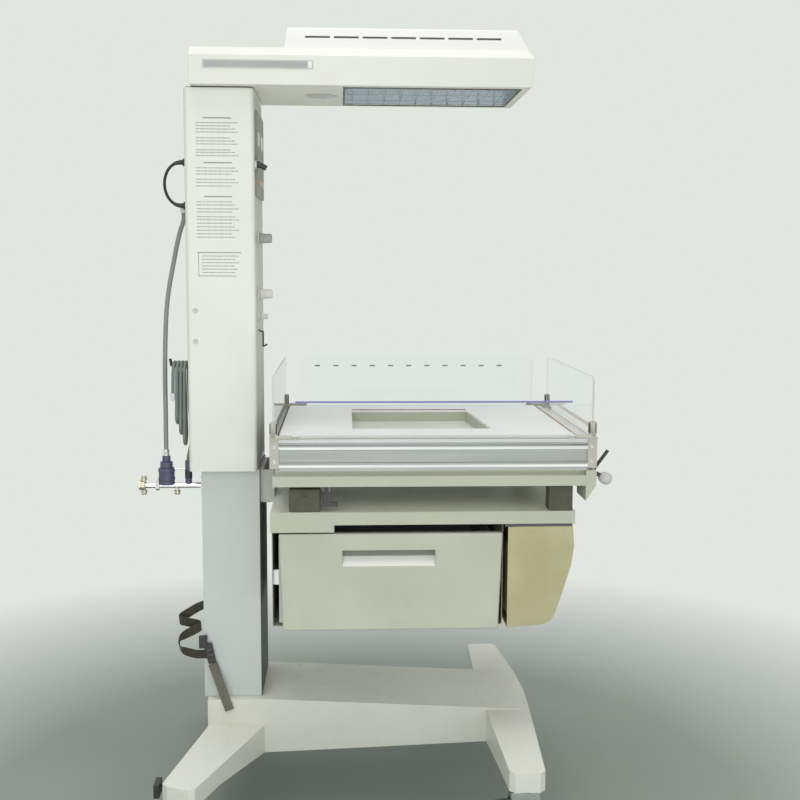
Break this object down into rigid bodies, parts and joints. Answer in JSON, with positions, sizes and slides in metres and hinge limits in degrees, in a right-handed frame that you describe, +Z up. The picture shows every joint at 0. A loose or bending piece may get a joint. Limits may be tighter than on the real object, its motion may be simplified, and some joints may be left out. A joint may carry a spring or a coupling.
{
  "type": "infant warmer",
  "caption": "Infant warmer: wheeled base, column with controls, swivelling radiant heater canopy, tilting bed with hinged clear side panels, and a drawer cabinet.",
  "frame": {"origin": "on the floor below the middle of the bounding box", "axes": "+X from the head end with the column to the foot end of the bed, +Y to the far long side, +Z up; the pictured side faces -Y"},
  "size_m": [1.121, 0.9858, 1.884],
  "materials": {
    "ivory_paint": "satin powder coat",
    "bluish_paint": "satin powder coat",
    "white_paint": "satin powder coat",
    "beige_paint": "satin powder coat",
    "tray_plastic": "fine grain",
    "grey_paint": "satin",
    "panel_plastic": "fine matte",
    "drawer_plastic": "fine grain",
    "drawer_liner": "smooth",
    "yellowed_plastic": "aged, fine grain",
    "corner_plastic": "fine grain",
    "deck_white": "smooth",
    "edge_trim": "satin",
    "olive_rubber": "matte",
    "clear_acrylic": "clear, polished",
    "rail_aluminium": "brushed, anodised",
    "reflector_aluminium": "bright",
    "plain_steel": "brushed",
    "fork_steel": "bright",
    "bright_metal": "bright",
    "element_steel": "dark sheath",
    "lamp_glass": "frosted",
    "black_plastic": "fine matte",
    "black_metal": "black oxide",
    "orange_key": "smooth",
    "grey_key": "smooth",
    "green_knob": "fluted",
    "white_knob": "fluted",
    "tyre_dark": "non-marking",
    "grey_hose": "satin",
    "black_lead": "satin",
    "green_grey_tube": "translucent satin",
    "blue_grey_fitting": "smooth",
    "webbing": "woven"
  },
  "bodies": {
    "frame": {"base_frame": "ivory_paint", "mast": "grey_paint", "lower_cover": "bluish_paint", "front_strip": "black_plastic", "column_housing": "ivory_paint", "controls_panel": "beige_paint", "fascia": "panel_plastic", "controller_box": "plain_steel", "gas_block": "plain_steel", "hooks": "black_metal", "probe_plug": "black_plastic", "canopy_post": "grey_paint", "bed_bracket": "grey_paint", "cabinet_top": "beige_paint", "cabinet_body": "beige_paint", "drawer_runners": "plain_steel", "end_cover": "yellowed_plastic", "tilt_supports": "olive_rubber", "manifold": "bright_metal", "hose_fitting": "blue_grey_fitting", "gas_hose": "grey_hose", "power_loop": "black_lead", "tube_hank": "green_grey_tube", "cylinder_strap": "webbing"},
    "canopy": {"canopy_shell": "ivory_paint", "canopy_plate": "beige_paint", "vent_hood": "white_paint", "heater_reflector": "reflector_aluminium", "heater_element": "element_steel", "heater_grille": "bright_metal", "lamp_lens": "lamp_glass"},
    "bed": {"tray_pan": "tray_plastic", "rails": "rail_aluminium", "corner_blocks": "corner_plastic", "deck_boards": "deck_white", "edge_strips": "edge_trim"},
    "drawer": {"drawer_box": "drawer_liner", "drawer_front": "drawer_plastic"},
    "tilt_lever": {"tilt_lever": "black_metal"},
    "tilt_handle": {"tilt_handle": "black_metal"},
    "panel_near": {"panel_near": "clear_acrylic"},
    "panel_far": {"panel_far": "clear_acrylic"},
    "panel_foot": {"panel_foot": "clear_acrylic"},
    "panel_head": {"panel_head": "clear_acrylic"},
    "brake_near": {"brake_near": "black_plastic"},
    "knob_flow": {"knob_flow": "green_knob"},
    "knob_suction": {"knob_suction": "white_knob"},
    "knob_valve": {"knob_valve": "white_knob"},
    "key_silence": {"key_silence": "orange_key"},
    "key_up": {"key_up": "grey_key"},
    "key_down": {"key_down": "grey_key"},
    "fork_head_near": {"fork_head_near": "fork_steel"},
    "wheel_head_near": {"wheel_head_near": "tyre_dark"},
    "fork_head_far": {"fork_head_far": "fork_steel"},
    "wheel_head_far": {"wheel_head_far": "tyre_dark"},
    "fork_foot_near": {"fork_foot_near": "fork_steel"},
    "wheel_foot_near": {"wheel_foot_near": "tyre_dark"},
    "fork_foot_far": {"fork_foot_far": "fork_steel"},
    "wheel_foot_far": {"wheel_foot_far": "tyre_dark"}
  },
  "joints": [
    {"name": "canopy_swivel", "type": "hinge", "parent": "frame", "child": "canopy", "pos_m": [-0.334, 0, 1.755], "axis": [0, 0, 1], "range_deg": [-90, 90]},
    {"name": "drawer_slide", "type": "slide", "parent": "frame", "child": "drawer", "axis": [0, -1, 0], "range_m": [0, 0.36]},
    {"name": "bed_tilt", "type": "hinge", "parent": "frame", "child": "bed", "pos_m": [-0.152, 0, 0.826], "axis": [0, -1, 0], "range_deg": [0, 8]},
    {"name": "tilt_lever_turn", "type": "hinge", "parent": "bed", "child": "tilt_lever", "pos_m": [-0.103, -0.28, 0.839], "axis": [0, -1, 0], "range_deg": [0, 25]},
    {"name": "tilt_handle_turn", "type": "hinge", "parent": "bed", "child": "tilt_handle", "pos_m": [0.508, -0.23, 0.868], "axis": [1, 0, 0], "range_deg": [-60, 60]},
    {"name": "panel_near_fold", "type": "hinge", "parent": "bed", "child": "panel_near", "pos_m": [0.14, -0.309, 0.96], "axis": [1, 0, 0], "range_deg": [0, 180]},
    {"name": "panel_far_fold", "type": "hinge", "parent": "bed", "child": "panel_far", "pos_m": [0.14, 0.309, 0.96], "axis": [-1, 0, 0], "range_deg": [0, 180]},
    {"name": "panel_foot_lift", "type": "slide", "parent": "bed", "child": "panel_foot", "axis": [0, 0, 1], "range_m": [0, 0.029]},
    {"name": "panel_head_lift", "type": "slide", "parent": "bed", "child": "panel_head", "axis": [0, 0, 1], "range_m": [0, 0.029]},
    {"name": "brake_near_rock", "type": "hinge", "parent": "frame", "child": "brake_near", "pos_m": [-0.47, -0.406, 0.2055], "axis": [1, 0, 0], "range_deg": [-10, 10]},
    {"name": "knob_flow_turn", "type": "hinge", "parent": "frame", "child": "knob_flow", "pos_m": [-0.26, -0.06, 1.404], "axis": [1, 0, 0], "range_deg": [0, 270]},
    {"name": "knob_suction_turn", "type": "hinge", "parent": "frame", "child": "knob_suction", "pos_m": [-0.26, -0.06, 1.272], "axis": [1, 0, 0], "range_deg": [0, 270]},
    {"name": "knob_valve_turn", "type": "hinge", "parent": "frame", "child": "knob_valve", "pos_m": [-0.26, -0.06, 1.218], "axis": [1, 0, 0], "range_deg": [0, 90]},
    {"name": "key_silence_press", "type": "slide", "parent": "frame", "child": "key_silence", "axis": [-1, 0, 0], "range_m": [0, 0.0015], "stiffness_N_per_m": 400, "springref_m": -0.001},
    {"name": "key_up_press", "type": "slide", "parent": "frame", "child": "key_up", "axis": [-1, 0, 0], "range_m": [0, 0.0015], "stiffness_N_per_m": 400, "springref_m": -0.001},
    {"name": "key_down_press", "type": "slide", "parent": "frame", "child": "key_down", "axis": [-1, 0, 0], "range_m": [0, 0.0015], "stiffness_N_per_m": 400, "springref_m": -0.001},
    {"name": "swivel_head_near", "type": "hinge", "parent": "frame", "child": "fork_head_near", "pos_m": [-0.40761, -0.44143, 0.185], "axis": [0, 0, 1], "continuous": true},
    {"name": "roll_head_near", "type": "hinge", "parent": "fork_head_near", "child": "wheel_head_near", "pos_m": [-0.44961, -0.44143, 0.075], "axis": [0, 1, 0], "continuous": true},
    {"name": "swivel_head_far", "type": "hinge", "parent": "frame", "child": "fork_head_far", "pos_m": [-0.40761, 0.44143, 0.185], "axis": [0, 0, 1], "continuous": true},
    {"name": "roll_head_far", "type": "hinge", "parent": "fork_head_far", "child": "wheel_head_far", "pos_m": [-0.36561, 0.44143, 0.075], "axis": [0, 1, 0], "continuous": true},
    {"name": "swivel_foot_near", "type": "hinge", "parent": "frame", "child": "fork_foot_near", "pos_m": [0.342, -0.399, 0.185], "axis": [0, 0, 1], "continuous": true},
    {"name": "roll_foot_near", "type": "hinge", "parent": "fork_foot_near", "child": "wheel_foot_near", "pos_m": [0.3, -0.399, 0.075], "axis": [0, 1, 0], "continuous": true},
    {"name": "swivel_foot_far", "type": "hinge", "parent": "frame", "child": "fork_foot_far", "pos_m": [0.342, 0.399, 0.185], "axis": [0, 0, 1], "continuous": true},
    {"name": "roll_foot_far", "type": "hinge", "parent": "fork_foot_far", "child": "wheel_foot_far", "pos_m": [0.3, 0.399, 0.075], "axis": [0, 1, 0], "continuous": true}
  ]
}
